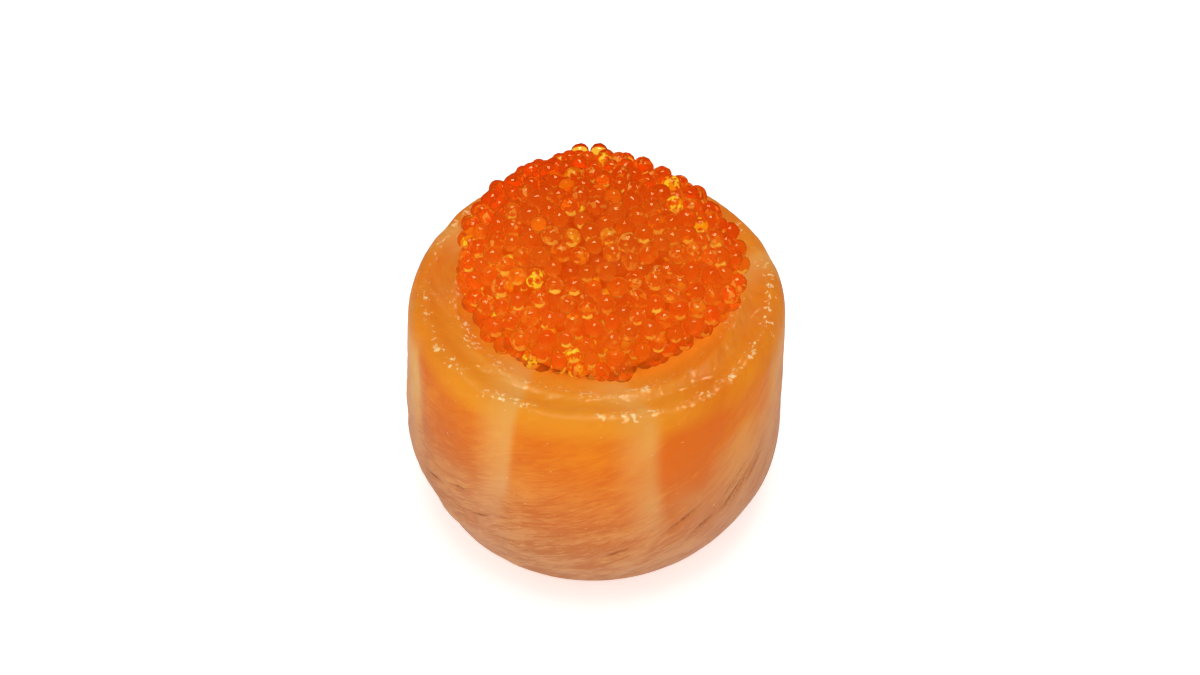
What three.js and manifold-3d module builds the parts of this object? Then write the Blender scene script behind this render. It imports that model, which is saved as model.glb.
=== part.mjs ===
// Gunkan sushi: a thick strip of raw salmon wound into a squat drum, with small trout roe heaped in its top.
// Millimetres, +Z up. The origin is the middle of the flat underside, and the front of the piece faces -Y.
// An azimuth is an angle round Z from the front, in degrees: 90 is the right-hand side (+X), 180 the back.

import * as THREE from "three";
import { mergeVertices } from "three/addons/utils/BufferGeometryUtils.js";
import Module from "manifold-3d";

const wasm = await Module();
wasm.setup();

// Driving dimensions
const BELLY_RADIUS = 24; // the wrap at its widest
const WRAP_HEIGHT = 33.6; // from the board to the top of the rim
const STRIP_THICKNESS = 4.2; // the outer turn of salmon, measured across the rim
const ROE_DIAMETER = 2.35; // the average egg
const HEAP_HEIGHT = 11.0; // the roe above the rim, to the middle of its top eggs
const HEAP_HALF_WIDTH = 16.8; // the heap at the rim, to the middle of its outermost eggs
const FIT_GAP = 0.3; // between the heap and the salmon that holds it

// The wrap's profile, worked out from the driving dimensions
const FOOT_RADIUS = BELLY_RADIUS * 0.837; // the salmon draws in towards the board
const SHOULDER_RADIUS = BELLY_RADIUS * 0.969;
const BELLY_HEIGHT = WRAP_HEIGHT * 0.36;
const FOOT_ROUNDING = 2.3;
const SHOULDER_ROUNDING = 3.6;
const OUTER_RIDGE_RADIUS = BELLY_RADIUS * 0.893;
const INNER_RIDGE_RADIUS = OUTER_RIDGE_RADIUS - STRIP_THICKNESS + 0.3;
const RIM_GROOVE_RADIUS = INNER_RIDGE_RADIUS + STRIP_THICKNESS * 0.35;
const RIM_GROOVE_DEPTH = 0.55;
const INNER_RIDGE_DROP = 0.25;
const NEST_RADIUS = INNER_RIDGE_RADIUS - 5.0;
const NEST_DEPTH = 2.4;

// How the hand-made drum departs from a turned shape
const LEAN = 0.012; // sideways shift for each millimetre of height, to the right
const NEST_SHIFT = 2.2; // the nest and the heap sit this far behind the middle of the drum
const HEAP_SIDE_SHIFT = -0.5; // and this far to the right of it
const FAT_LINES = 8; // pale bands across the strip, each with a shallow furrow along one edge
const FIRST_FAT_LINE = -30; // azimuth of the first furrow at the rim
const FAT_LINE_SLANT = 20; // the furrows fan out towards the foot, by up to this angle
const FURROW_DEPTH = 0.22;
const FURROW_HALF_ANGLE = 7;

const SEGMENTS = 66; // facets round the wrap
const EGG_FACET_REACH = 1.06; // corners of a faceted egg stand this far out, so that it fills like a ball
const EGG_SPACING = 1.09; // distance between neighbours on the heap, in egg diameters
const EGG_SIZE_SPREAD = 0.13;
const EGG_HEIGHT_SPREAD = 0.34; // how far eggs stand in or out of the heap's smooth surface
const HEAP_FULLNESS = 2.2; // exponent of the heap's outline: 2 is an ellipse, more is fuller
// eggs that lie on top of the others, each at [azimuth, rise] in degrees
const TOP_EGGS = [
  [176, 31],
  [-175, 31],
  [-133, 16],
  [-112, 10],
];
const TOP_EGG_LIFT = 0.4; // how far their middles stand above the others', in egg diameters
const ROE_SEED = 11;
const SETTLING_ROUNDS = 40;

const radians = THREE.MathUtils.degToRad;

// A seeded run of numbers from 0 to 1.
function seededRandom(seed) {
  let state = seed >>> 0;
  return () => {
    state = (state + 0x6d2b79f5) >>> 0;
    let t = state;
    t = Math.imul(t ^ (t >>> 15), t | 1);
    t ^= t + Math.imul(t ^ (t >>> 7), t | 61);
    return ((t ^ (t >>> 14)) >>> 0) / 4294967296;
  };
}

// The shortest way round from one azimuth to another, in degrees, from -180 to 180.
function turn(from, to) {
  return THREE.MathUtils.euclideanModulo(to - from + 180, 360) - 180;
}

// 1 at the middle of a bump and 0 from its half width on.
function bump(distance, halfWidth) {
  const t = Math.min(1, Math.abs(distance) / halfWidth);
  return (1 + Math.cos(Math.PI * t)) / 2;
}

// A closed mesh of position-only geometry as a solid.
function solidFrom(geometry) {
  const bare = geometry.clone();
  bare.deleteAttribute("normal");
  bare.deleteAttribute("uv");
  const merged = mergeVertices(bare, 1e-4);
  const mesh = new wasm.Mesh({
    numProp: 3,
    vertProperties: new Float32Array(merged.attributes.position.array),
    triVerts: new Uint32Array(merged.index.array),
  });
  mesh.merge();
  return new wasm.Manifold(mesh);
}

// A solid as a geometry for a THREE.Mesh.
function geometryFrom(solid) {
  const mesh = solid.getMesh();
  const points = new Float32Array(mesh.numVert * 3);
  for (let i = 0; i < mesh.numVert; i++) {
    const start = i * mesh.numProp;
    points.set(mesh.vertProperties.subarray(start, start + 3), i * 3);
  }
  return new THREE.BufferGeometry()
    .setAttribute("position", new THREE.BufferAttribute(points, 3))
    .setIndex(new THREE.BufferAttribute(mesh.triVerts, 1));
}

// ---- The salmon wrap ----

// Radius of the drum's side at a height, before its edges are rounded.
function sideRadius(z) {
  const below = z < BELLY_HEIGHT;
  const end = below ? FOOT_RADIUS : SHOULDER_RADIUS;
  const reach = below ? BELLY_HEIGHT : WRAP_HEIGHT - BELLY_HEIGHT;
  return BELLY_RADIUS - (BELLY_RADIUS - end) * ((z - BELLY_HEIGHT) / reach) ** 2;
}

// The profile from the middle of the underside, up the side, over the rim and down into the nest.
function wrapProfile() {
  const points = [new THREE.Vector2(0, 0)];
  for (const turned of [0, 35, 70]) {
    const a = radians(turned);
    const z = FOOT_ROUNDING * (1 - Math.cos(a));
    points.push(new THREE.Vector2(sideRadius(z) - FOOT_ROUNDING * (1 - Math.sin(a)), z));
  }
  const sideTop = WRAP_HEIGHT - SHOULDER_ROUNDING;
  const sideSteps = 7;
  for (let i = 0; i <= sideSteps; i++) {
    const z = THREE.MathUtils.lerp(FOOT_ROUNDING + 0.6, sideTop, i / sideSteps);
    points.push(new THREE.Vector2(sideRadius(z), z));
  }
  const acrossShoulder = sideRadius(sideTop) - OUTER_RIDGE_RADIUS;
  for (const turned of [25, 50, 72, 90]) {
    const a = radians(turned);
    const r = OUTER_RIDGE_RADIUS + acrossShoulder * Math.cos(a);
    points.push(new THREE.Vector2(r, sideTop + SHOULDER_ROUNDING * Math.sin(a)));
  }
  points.push(new THREE.Vector2(RIM_GROOVE_RADIUS + 0.7, WRAP_HEIGHT - RIM_GROOVE_DEPTH * 0.6));
  points.push(new THREE.Vector2(RIM_GROOVE_RADIUS, WRAP_HEIGHT - RIM_GROOVE_DEPTH));
  points.push(new THREE.Vector2(INNER_RIDGE_RADIUS, WRAP_HEIGHT - INNER_RIDGE_DROP));
  points.push(new THREE.Vector2(INNER_RIDGE_RADIUS - 1.1, WRAP_HEIGHT - NEST_DEPTH * 0.36));
  points.push(new THREE.Vector2(INNER_RIDGE_RADIUS - 2.6, WRAP_HEIGHT - NEST_DEPTH * 0.7));
  points.push(new THREE.Vector2(NEST_RADIUS, WRAP_HEIGHT - NEST_DEPTH));
  points.push(new THREE.Vector2(0, WRAP_HEIGHT - NEST_DEPTH));
  return points;
}

// The drum's broad swellings and flats: each is [azimuth, half angle, level, half height, how far out], with
// levels as shares of the wrap's height.
const SWELLINGS = [
  [80, 75, 0.1, 0.45, 0.45],
  [-110, 55, 1.0, 0.6, -0.25],
  [-80, 55, 0.35, 0.4, 0.35],
  [-60, 60, 0.1, 0.3, -0.25],
  [95, 50, 0.75, 0.4, -0.1],
  [15, 80, 0.0, 0.4, -0.35],
];

// How far the outside stands in or out at an azimuth and a height: the swellings, and furrows along the
// fat lines.
function outsideRelief(azimuth, z) {
  const level = z / WRAP_HEIGHT;
  let out = 0;
  for (const [middle, halfAngle, height, halfHeight, size] of SWELLINGS) {
    out += size * bump(turn(middle, azimuth), halfAngle) * bump(level - height, halfHeight);
  }
  for (let line = 0; line < FAT_LINES; line++) {
    const atRim = FIRST_FAT_LINE + (line * 360) / FAT_LINES + 2 * Math.sin(0.8 * line);
    const at = atRim + FAT_LINE_SLANT * Math.sin(radians(atRim)) * Math.max(0, 1 - level);
    out -= FURROW_DEPTH * bump(turn(at, azimuth), FURROW_HALF_ANGLE);
  }
  return out;
}

// How far the rim rises or dips at an azimuth.
function rimRelief(azimuth) {
  const a = radians(azimuth);
  return 0.35 * Math.cos(a + 0.5) + 0.25 * Math.cos(3 * a + 0.9) + 0.18 * Math.cos(5 * a);
}

function buildWrap() {
  const geometry = new THREE.LatheGeometry(wrapProfile(), SEGMENTS);
  geometry.rotateX(Math.PI / 2);
  const position = geometry.attributes.position;
  for (let i = 0; i < position.count; i++) {
    const x = position.getX(i);
    const y = position.getY(i);
    const z = position.getZ(i);
    const r = Math.hypot(x, y);
    const azimuth = THREE.MathUtils.radToDeg(Math.atan2(x, -y));
    // the relief fades out under the foot and inside the inner ridge
    const outward = THREE.MathUtils.smoothstep(r, INNER_RIDGE_RADIUS, OUTER_RIDGE_RADIUS);
    const offBoard = THREE.MathUtils.smoothstep(z, -1, 5);
    const inNest = z > WRAP_HEIGHT / 2 ? 1 - THREE.MathUtils.smoothstep(r, NEST_RADIUS, INNER_RIDGE_RADIUS) : 0;
    const scale = r > 0 ? (r + outsideRelief(azimuth, z) * outward * offBoard) / r : 1;
    const onRim = THREE.MathUtils.smoothstep(z, WRAP_HEIGHT * 0.5, WRAP_HEIGHT) * outward;
    position.setXYZ(
      i,
      x * scale + LEAN * (z - WRAP_HEIGHT / 2),
      y * scale + NEST_SHIFT * inNest,
      z + rimRelief(azimuth) * onRim,
    );
  }
  return solidFrom(geometry);
}

// ---- The roe heap ----

// The middle of the heap, on the rim's plane.
const HEAP_CENTRE = new THREE.Vector3(HEAP_SIDE_SHIFT, NEST_SHIFT, WRAP_HEIGHT);

// A point of the heap's smooth surface: rise is 0 at the rim and 90 at the top, in degrees.
function heapPoint(azimuth, rise) {
  const a = radians(azimuth);
  const power = 2 / HEAP_FULLNESS;
  const across = HEAP_HALF_WIDTH * Math.max(0, Math.cos(radians(rise))) ** power;
  const up = HEAP_HEIGHT * Math.sin(radians(rise)) ** power;
  return new THREE.Vector3(across * Math.sin(a), -across * Math.cos(a), up).add(HEAP_CENTRE);
}

// The way out of the heap's surface at a point on it or near it.
function heapNormal(point) {
  const p = point.clone().sub(HEAP_CENTRE);
  const n = HEAP_FULLNESS;
  const side = Math.hypot(p.x, p.y) / HEAP_HALF_WIDTH;
  const sideSlope = side ** (n - 1) / HEAP_HALF_WIDTH;
  const upSlope = Math.max(0, p.z / HEAP_HEIGHT) ** (n - 1) / HEAP_HEIGHT;
  const azimuth = Math.atan2(p.x, -p.y);
  return new THREE.Vector3(sideSlope * Math.sin(azimuth), -sideSlope * Math.cos(azimuth), upSlope).normalize();
}

// Moves a point straight from the heap's middle onto its smooth surface, and not below the rim.
function ontoHeap(point) {
  const p = point.clone().sub(HEAP_CENTRE);
  p.z = Math.max(p.z, 0);
  const n = HEAP_FULLNESS;
  const size = ((Math.hypot(p.x, p.y) / HEAP_HALF_WIDTH) ** n + (p.z / HEAP_HEIGHT) ** n) ** (1 / n);
  return p.divideScalar(size).add(HEAP_CENTRE);
}

// Area of the heap's surface up to each rise, for spreading eggs evenly.
function heapAreas(steps) {
  const areas = [0];
  for (let i = 1; i <= steps; i++) {
    const low = heapPoint(90, (90 * (i - 1)) / steps).sub(HEAP_CENTRE);
    const high = heapPoint(90, (90 * i) / steps).sub(HEAP_CENTRE);
    areas.push(areas[i - 1] + Math.PI * (low.x + high.x) * low.distanceTo(high));
  }
  return areas;
}

// The eggs that cover the heap: {middle, radius, out}. They start on a spiral of equal areas, are stirred,
// push each other apart, and then stand a little in or out of the smooth surface.
function layEggs() {
  const random = seededRandom(ROE_SEED);
  const steps = 200;
  const areas = heapAreas(steps);
  const eachTakes = (EGG_SPACING * ROE_DIAMETER) ** 2 * (Math.sqrt(3) / 2);
  const count = Math.round(areas[steps] / eachTakes);
  const goldenAngle = 180 * (3 - Math.sqrt(5));
  const eggs = [];
  for (let i = 0; i < count; i++) {
    const wanted = (areas[steps] * (i + 0.5)) / count;
    const step = areas.findIndex((area) => area >= wanted);
    const part = (wanted - areas[step - 1]) / (areas[step] - areas[step - 1]);
    const middle = heapPoint(i * goldenAngle, (90 * (step - 1 + part)) / steps);
    const stir = new THREE.Vector3(random() - 0.5, random() - 0.5, random() - 0.5);
    middle.addScaledVector(stir, ROE_DIAMETER);
    const radius = (ROE_DIAMETER / 2) * (1 + EGG_SIZE_SPREAD * (2 * random() - 1));
    eggs.push({ middle: ontoHeap(middle), radius });
  }
  for (let round = 0; round < SETTLING_ROUNDS; round++) {
    for (let i = 0; i < count; i++) {
      for (let j = i + 1; j < count; j++) {
        const apart = eggs[j].middle.clone().sub(eggs[i].middle);
        const distance = apart.length();
        const wanted = eggs[i].radius + eggs[j].radius;
        if (distance >= wanted) continue;
        apart.multiplyScalar((0.35 * (wanted - distance)) / distance);
        eggs[i].middle.sub(apart);
        eggs[j].middle.add(apart);
      }
    }
    eggs.forEach((egg) => (egg.middle = ontoHeap(egg.middle)));
  }
  for (const egg of eggs) {
    egg.out = heapNormal(egg.middle);
    const proud = EGG_HEIGHT_SPREAD * (2 * random() - 1);
    egg.middle.addScaledVector(egg.out, proud);
  }
  for (const [azimuth, rise] of TOP_EGGS) {
    const middle = heapPoint(azimuth, rise);
    const out = heapNormal(middle);
    middle.addScaledVector(out, TOP_EGG_LIFT * ROE_DIAMETER);
    eggs.push({ middle, radius: ROE_DIAMETER / 2, out });
  }
  return eggs;
}

// One egg as a ball of twenty facets, with a corner pointing out of the heap.
function eggSolid({ middle, radius, out }) {
  const ball = new THREE.IcosahedronGeometry(radius * EGG_FACET_REACH, 0);
  const corner = new THREE.Vector3(0, 1, (1 + Math.sqrt(5)) / 2).normalize();
  ball.applyQuaternion(new THREE.Quaternion().setFromUnitVectors(corner, out));
  ball.translate(middle.x, middle.y, middle.z);
  return solidFrom(ball);
}

// The plain mass under the eggs, with its foot in the nest.
function heapCore() {
  const sunk = 0.16 * ROE_DIAMETER; // the core's surface lies this far below the eggs' middles
  const widest = HEAP_HALF_WIDTH - sunk;
  const footRadius = NEST_RADIUS - FIT_GAP;
  const profile = [
    new THREE.Vector2(0, FIT_GAP - NEST_DEPTH),
    new THREE.Vector2(footRadius, FIT_GAP - NEST_DEPTH),
    new THREE.Vector2(footRadius + 1.5, FIT_GAP - NEST_DEPTH * 0.55),
    new THREE.Vector2(footRadius + 2.6, FIT_GAP),
  ];
  const rings = 6;
  for (let i = 0; i <= rings; i++) {
    const p = heapPoint(90, (90 * i) / rings).sub(HEAP_CENTRE);
    const inwards = 1 - sunk / HEAP_HALF_WIDTH;
    const up = i === 0 ? FIT_GAP : p.z * (1 - sunk / HEAP_HEIGHT);
    profile.push(new THREE.Vector2(i === rings ? 0 : Math.min(widest, p.x * inwards), up));
  }
  const geometry = new THREE.LatheGeometry(profile, SEGMENTS / 3);
  geometry.rotateX(Math.PI / 2);
  geometry.translate(HEAP_CENTRE.x, HEAP_CENTRE.y, HEAP_CENTRE.z);
  return solidFrom(geometry);
}

// The core and its eggs fused into one solid. Any hollow that the fusing seals is filled.
function buildHeap(wrap) {
  const eggs = layEggs().filter((egg) => liftClear(wrap, egg));
  const fused = wasm.Manifold.union([heapCore(), ...eggs.map(eggSolid)]);
  const shells = fused.decompose();
  return shells.reduce((a, b) => (b.volume() > a.volume() ? b : a));
}

// Raises an egg that would touch the wrap until it lies clear on the rim. False if it can't be cleared.
function liftClear(wrap, egg) {
  const step = 0.2;
  for (let lift = 0; lift <= ROE_DIAMETER; lift += step) {
    if (wrap.minGap(eggSolid(egg), 2 * FIT_GAP) >= FIT_GAP * 0.5) return true;
    egg.middle.z += step;
  }
  return false;
}

// ---- The piece ----

function salmonMaterial() {
  return new THREE.MeshStandardMaterial({ color: 0xe08a45, roughness: 0.35, metalness: 0 });
}

function roeMaterial() {
  return new THREE.MeshStandardMaterial({ color: 0xe85a0c, roughness: 0.12, metalness: 0 });
}

const gunkan = new THREE.Group();
const wrapSolid = buildWrap();
const wrap = new THREE.Mesh(geometryFrom(wrapSolid), salmonMaterial());
wrap.name = "salmon_wrap";
gunkan.add(wrap);
const heap = new THREE.Mesh(geometryFrom(buildHeap(wrapSolid)), roeMaterial());
heap.name = "roe_heap";
gunkan.add(heap);

export default gunkan;
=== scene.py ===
"""Gunkan sushi: a drum wound from a thick strip of raw salmon, with small trout roe heaped in its top.

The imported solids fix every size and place. This script dresses them: SalmonWrap models the drum with its
fat lines, muscle fibres and moist sheen, RoeHeap lays the eggs one by one, and Studio sets the floor, the
lights and the camera. Lengths in the dataclasses are millimetres, and the frame is in metres. An azimuth is
an angle round Z from the front (-Y) in degrees: 90 is the right-hand side (+X), 180 the back.
"""

from __future__ import annotations

import logging
import math
from dataclasses import dataclass, field
from enum import Enum

import bpy
import numpy as np
from bpy.types import ID, Material, Mesh, Node, NodeSocket, NodeTree, Object
from mathutils import Euler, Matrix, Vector, noise
from mathutils.bvhtree import BVHTree

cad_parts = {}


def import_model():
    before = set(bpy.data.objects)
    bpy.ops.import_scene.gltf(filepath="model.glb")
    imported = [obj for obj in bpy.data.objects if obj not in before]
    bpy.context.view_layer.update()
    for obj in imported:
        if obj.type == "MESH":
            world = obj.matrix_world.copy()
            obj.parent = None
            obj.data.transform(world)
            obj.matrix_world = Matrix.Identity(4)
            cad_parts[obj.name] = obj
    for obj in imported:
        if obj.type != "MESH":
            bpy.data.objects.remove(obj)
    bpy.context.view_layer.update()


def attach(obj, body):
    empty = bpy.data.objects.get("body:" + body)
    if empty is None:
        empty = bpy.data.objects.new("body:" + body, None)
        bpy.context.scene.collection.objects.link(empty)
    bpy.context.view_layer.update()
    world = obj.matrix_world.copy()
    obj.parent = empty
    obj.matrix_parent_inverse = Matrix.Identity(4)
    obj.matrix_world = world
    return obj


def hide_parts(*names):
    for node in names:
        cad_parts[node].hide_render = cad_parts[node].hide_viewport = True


LOG = logging.getLogger("gunkan")
MM = 0.001
BODY = "root"


class Slot(Enum):
    """Material slots of the record."""

    SALMON = "salmon"
    ROE = "roe"


# ---- Materials ----


def linear(hex_colour: str) -> tuple[float, float, float, float]:
    """Turns an sRGB hex colour into linear light.

    Args:
        hex_colour: Six hex digits, such as "e8903a".

    Returns:
        Red, green, blue and an alpha of 1.
    """
    channels = [int(hex_colour[i : i + 2], 16) / 255 for i in (0, 2, 4)]
    light = [c / 12.92 if c <= 0.04045 else ((c + 0.055) / 1.055) ** 2.4 for c in channels]
    return (light[0], light[1], light[2], 1.0)


class Signal:
    """What one node of a material hands to the next. Plus, minus and times add nodes that calculate."""

    def __init__(self, socket: NodeSocket) -> None:
        """Holds a node's output."""
        self.socket = socket
        self.tree = socket.id_data

    def calculated(self, operation: str, other: Signal | float = 0.0, clamped: bool = False) -> Signal:
        """Adds an operation, by Blender's name for it, on this number and another."""
        links = {0: self, 1: other}
        return output(self.tree, "Math", links, operation=operation, use_clamp=clamped)

    def __add__(self, other: Signal | float) -> Signal:
        """Adds a number to this one."""
        return self.calculated("ADD", other)

    def __sub__(self, other: Signal | float) -> Signal:
        """Takes a number from this one."""
        return self.calculated("SUBTRACT", other)

    def __rsub__(self, whole: float) -> Signal:
        """Takes this number from a fixed one."""
        return output(self.tree, "Math", {0: whole, 1: self}, operation="SUBTRACT")

    def __mul__(self, other: Signal | float) -> Signal:
        """Multiplies this number by another."""
        return self.calculated("MULTIPLY", other)

    def stepped(self, low: float, high: float) -> Signal:
        """Adds a slope that rises from 0 at low to 1 at high, and stays level outside them."""
        return output(self.tree, "MapRange", {"Value": self, "From Min": low, "From Max": high})

    def parts(self) -> list[Signal]:
        """Splits a vector into its three numbers."""
        node = add_node(self.tree, "SeparateXYZ", {0: self})
        return [Signal(part) for part in node.outputs]


def add_node(tree: NodeTree, kind: str, links: dict | None = None, **settings) -> Node:
    """Adds a node to a tree, with its settings and what feeds it.

    Args:
        tree: The node tree.
        kind: The node's type without "ShaderNode", such as "TexNoise".
        links: Input name or number to a value, to a colour's hex digits, or to the signal that feeds it.
        settings: Properties of the node.

    Returns:
        The node.
    """
    node = tree.nodes.new("ShaderNode" + kind)
    for name, value in settings.items():
        setattr(node, name, value)
    for key, value in (links or {}).items():
        if isinstance(value, Signal):
            tree.links.new(value.socket, node.inputs[key])
        else:
            node.inputs[key].default_value = linear(value) if isinstance(value, str) else value
    return node


def output(tree: NodeTree, kind: str, links: dict | None = None, out: str | int = 0, **settings) -> Signal:
    """Adds a node, as add_node does, and gives the output with a name or number."""
    return Signal(add_node(tree, kind, links, **settings).outputs[out])


def read_attribute(tree: NodeTree, name: str, out: str = "Fac") -> Signal:
    """Adds a node that reads one of the mesh's own attributes."""
    return output(tree, "Attribute", out=out, attribute_name=name)


def mixed(factor: Signal, first: Signal | str, second: Signal | str) -> Signal:
    """Adds a mix of two colours, of which the factor is the second one's share."""
    return output(factor.tree, "Mix", {"Factor": factor, 6: first, 7: second}, 2, data_type="RGBA")


def raised(height: Signal, distance_mm: float, strength: float) -> Signal:
    """Adds the normal of a fine relief, which is distance_mm deep."""
    links = {"Height": height, "Strength": strength, "Distance": distance_mm * MM}
    return output(height.tree, "Bump", links)


def new_material(name: str) -> Material:
    """Makes a material with an empty node tree.

    Args:
        name: The material's name.

    Returns:
        The material.
    """
    material = bpy.data.materials.new(name)
    material.use_nodes = True
    material.node_tree.nodes.clear()
    return material


def shaded(material: Material, inputs: dict) -> Material:
    """Gives a material its one Principled shader.

    Args:
        material: The material.
        inputs: What the shader's inputs get, as in add_node.

    Returns:
        The material.
    """
    shader = output(material.node_tree, "BsdfPrincipled", inputs)
    add_node(material.node_tree, "OutputMaterial", {"Surface": shader})
    return material


# ---- Shapes ----


def deselect() -> None:
    """Deselects every object, so that an operator acts on the new piece alone."""
    bpy.ops.object.select_all(action="DESELECT")


def smoothstep(x: np.ndarray, low: float, high: float) -> np.ndarray:
    """Rises smoothly from 0 at low to 1 at high."""
    t = np.clip((x - low) / (high - low), 0, 1)
    return t * t * (3 - 2 * t)


def bump(distance: np.ndarray, half_width: float) -> np.ndarray:
    """Gives 1 at the middle of a bump and 0 from its half width on."""
    return (1 + np.cos(np.pi * np.minimum(1, np.abs(distance) / half_width))) / 2


def turn(start: float, azimuth: np.ndarray) -> np.ndarray:
    """Gives the shortest way round from one azimuth to others, from -180 to 180 degrees."""
    return np.mod(azimuth - start + 180, 360) - 180


def rounded(piece: Object, levels: int) -> None:
    """Rounds the active piece.

    Args:
        piece: The piece.
        levels: How many times it is subdivided.
    """
    rounding = piece.modifiers.new("rounding", "SUBSURF")
    rounding.levels = levels
    rounding.render_levels = levels
    bpy.ops.object.modifier_apply(modifier="rounding")


def raised_rings(name: str, rings: list[tuple], across: float, facets: int) -> Object:
    """Raises a form ring by ring, and closes it at both ends.

    Args:
        name: The form's name.
        rings: Radius, height and place along Y of each ring in millimetres, from the foot up.
        across: The rings' place along X in millimetres.
        facets: Number of sides.

    Returns:
        The form.
    """
    deselect()
    radius, height, back = rings[0]
    place = (across * MM, back * MM, height * MM)
    bpy.ops.mesh.primitive_circle_add(vertices=facets, radius=radius * MM, location=place)
    form = bpy.context.object
    form.name = name
    bpy.ops.object.transform_apply(location=True, rotation=True, scale=True)
    bpy.ops.object.mode_set(mode="EDIT")
    bpy.ops.mesh.select_mode(type="EDGE")
    bpy.ops.mesh.select_all(action="SELECT")
    for (r0, z0, y0), (r1, z1, y1) in zip(rings, rings[1:]):
        step = (0, (y1 - y0) * MM, (z1 - z0) * MM)
        bpy.ops.mesh.extrude_edges_move(TRANSFORM_OT_translate={"value": step})
        k = r1 / r0
        bpy.ops.transform.resize(value=(k, k, 1), center_override=(across * MM, y1 * MM, 0))
    bpy.ops.mesh.edge_face_add()
    bpy.ops.mesh.select_all(action="DESELECT")
    bpy.ops.mesh.select_non_manifold()
    bpy.ops.mesh.edge_face_add()
    bpy.ops.mesh.select_all(action="SELECT")
    bpy.ops.mesh.normals_make_consistent(inside=False)
    bpy.ops.object.mode_set(mode="OBJECT")
    return form


def dressed(mesh: Mesh, material: Material) -> None:
    """Gives a mesh smooth shading and its material."""
    mesh.polygons.foreach_set("use_smooth", [True] * len(mesh.polygons))
    mesh.materials.append(material)


def read_places(mesh: Mesh) -> np.ndarray:
    """Gives the vertices' places.

    Args:
        mesh: The mesh.

    Returns:
        Rows of x, y and z in millimetres.
    """
    places = np.zeros(len(mesh.vertices) * 3)
    mesh.vertices.foreach_get("co", places)
    return places.reshape(-1, 3) / MM


def write_places(mesh: Mesh, places: np.ndarray) -> None:
    """Moves the vertices to places in millimetres."""
    mesh.vertices.foreach_set("co", (places * MM).ravel())
    mesh.update()


def write_attribute(mesh: Mesh, name: str, values: np.ndarray) -> None:
    """Writes a number or a vector for each vertex.

    Args:
        mesh: The mesh.
        name: The attribute's name.
        values: One number or one row for each vertex.
    """
    kind, key = ("FLOAT", "value") if values.ndim == 1 else ("FLOAT_VECTOR", "vector")
    attribute = mesh.attributes.new(name, kind, "POINT")
    attribute.data.foreach_set(key, values.astype(np.float32).ravel())


class SeededRandom:
    """A seeded run of numbers, the same on every run."""

    def __init__(self, seed: int) -> None:
        """Starts the run at a seed."""
        self.state = seed & 0xFFFFFFFF

    def __call__(self) -> float:
        """Gives the next number.

        Returns:
            The number, from 0 to 1.
        """
        word = 0xFFFFFFFF
        self.state = (self.state + 0x6D2B79F5) & word
        t = self.state
        t = ((t ^ (t >> 15)) * (t | 1)) & word
        t ^= (t + (((t ^ (t >> 7)) * (t | 61)) & word)) & word
        return ((t ^ (t >> 14)) & word) / 4294967296

    def signed(self) -> float:
        """Gives the next number, from -1 to 1."""
        return 2 * self() - 1


# ---- Finishes ----


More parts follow.
